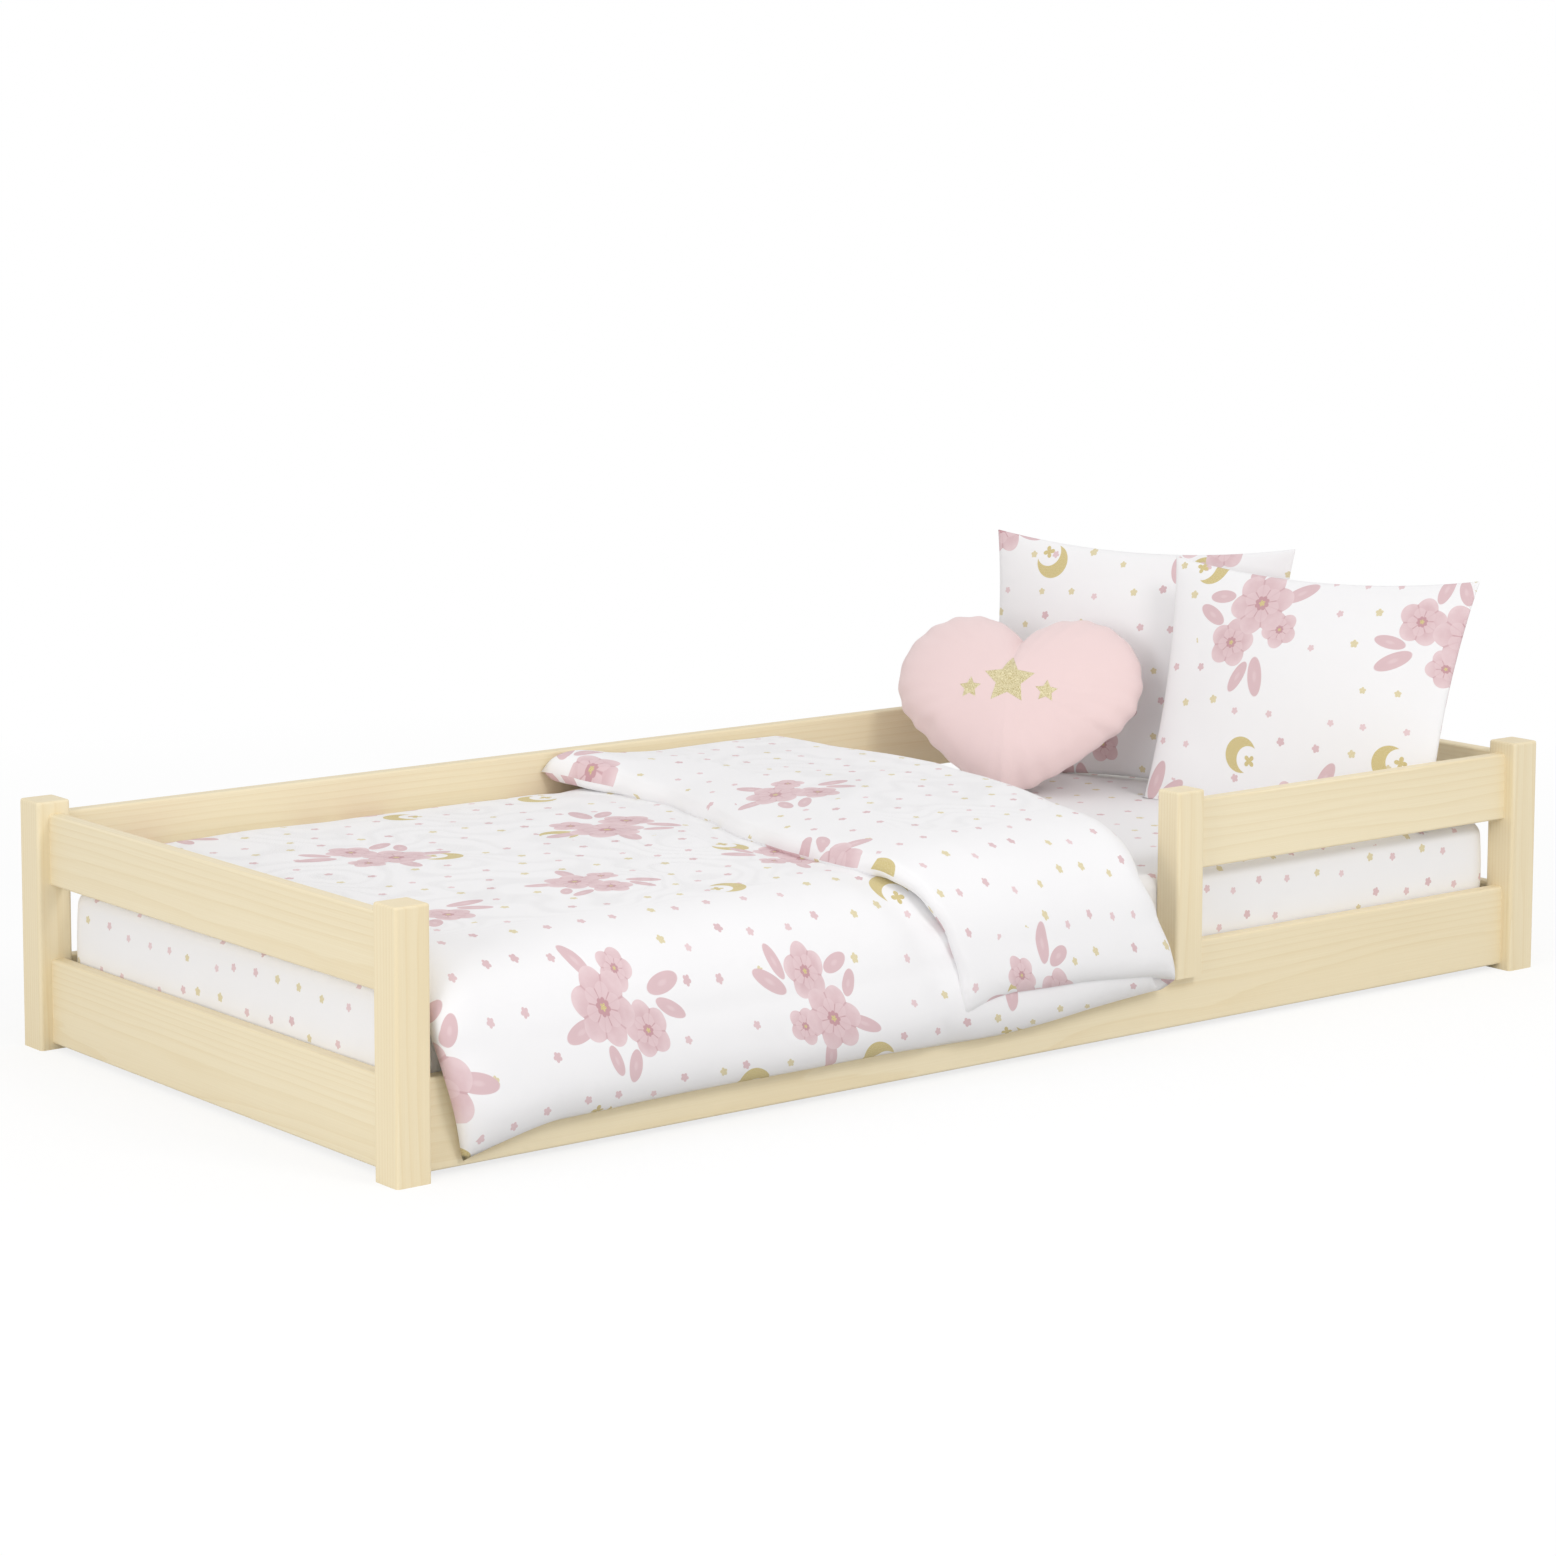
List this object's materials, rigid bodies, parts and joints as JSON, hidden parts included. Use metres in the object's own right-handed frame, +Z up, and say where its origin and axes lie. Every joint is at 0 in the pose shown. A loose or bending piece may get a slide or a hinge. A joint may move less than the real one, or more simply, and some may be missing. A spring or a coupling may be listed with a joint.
{
  "type": "toddler floor bed",
  "caption": "Low pine toddler bed with corner posts, open front entry, half guard rail, slatted base, mattress, duvet, pillows and heart cushion.",
  "frame": {"origin": "centre of the underside of the front post at the foot, on the floor", "axes": "+X from the foot to the head, +Y from the open front to the back, +Z up from the floor"},
  "size_m": [1.676, 0.8134, 0.484],
  "materials": {
    "pine": "clear-lacquered pine, satin",
    "slat_pine": "planed pine, untreated",
    "dowel_beech": "fluted beech",
    "screw_steel": "zinc plated",
    "zinc": "die-cast zinc",
    "mattress_cover": "white mattress cover over foam",
    "sheet_cotton": "white cotton with a small pink and gold print",
    "duvet_cotton": "white cotton with a pink and gold print",
    "pillow_cotton": "white cotton with a pink and gold print",
    "heart_plush": "blush pink brushed cotton"
  },
  "bodies": {
    "bed_frame": {"foot_post_front": "pine", "foot_post_back": "pine", "head_post_front": "pine", "head_post_back": "pine", "foot_lower_rail": "pine", "head_lower_rail": "pine", "foot_upper_rail": "pine", "head_upper_rail": "pine", "front_lower_rail": "pine", "back_lower_rail": "pine", "back_upper_rail": "pine", "guard_rail": "pine", "guard_post": "pine", "front_ledger": "slat_pine", "back_ledger": "slat_pine", "slat_01": "slat_pine", "slat_02": "slat_pine", "slat_03": "slat_pine", "slat_04": "slat_pine", "slat_05": "slat_pine", "slat_06": "slat_pine", "slat_07": "slat_pine", "slat_08": "slat_pine", "slat_09": "slat_pine", "slat_10": "slat_pine", "slat_11": "slat_pine", "slat_12": "slat_pine", "ledger_screws": "screw_steel", "slat_screws": "screw_steel", "guard_post_screws": "screw_steel", "rail_dowels": "dowel_beech", "cam_bolts": "zinc", "cam_locks": "zinc"},
    "mattress_body": {"mattress": "mattress_cover", "fitted_sheet": "sheet_cotton"},
    "duvet_body": {"duvet": "duvet_cotton"},
    "back_pillow_body": {"back_pillow": "pillow_cotton"},
    "front_pillow_body": {"front_pillow": "pillow_cotton"},
    "heart_body": {"heart_cushion": "heart_plush"}
  },
  "joints": [
    {"name": "mattress_lift", "type": "slide", "parent": "bed_frame", "child": "mattress_body", "axis": [0, 0, 1], "range_m": [0, 0.25]},
    {"name": "duvet_lift", "type": "slide", "parent": "mattress_body", "child": "duvet_body", "axis": [0, 0, 1], "range_m": [0, 0.3]},
    {"name": "back_pillow_lift", "type": "slide", "parent": "mattress_body", "child": "back_pillow_body", "axis": [0, 0, 1], "range_m": [0, 0.3]},
    {"name": "front_pillow_lift", "type": "slide", "parent": "back_pillow_body", "child": "front_pillow_body", "axis": [0, 0, 1], "range_m": [0, 0.3]},
    {"name": "heart_lift", "type": "slide", "parent": "back_pillow_body", "child": "heart_body", "axis": [0, 0, 1], "range_m": [0, 0.3]}
  ]
}
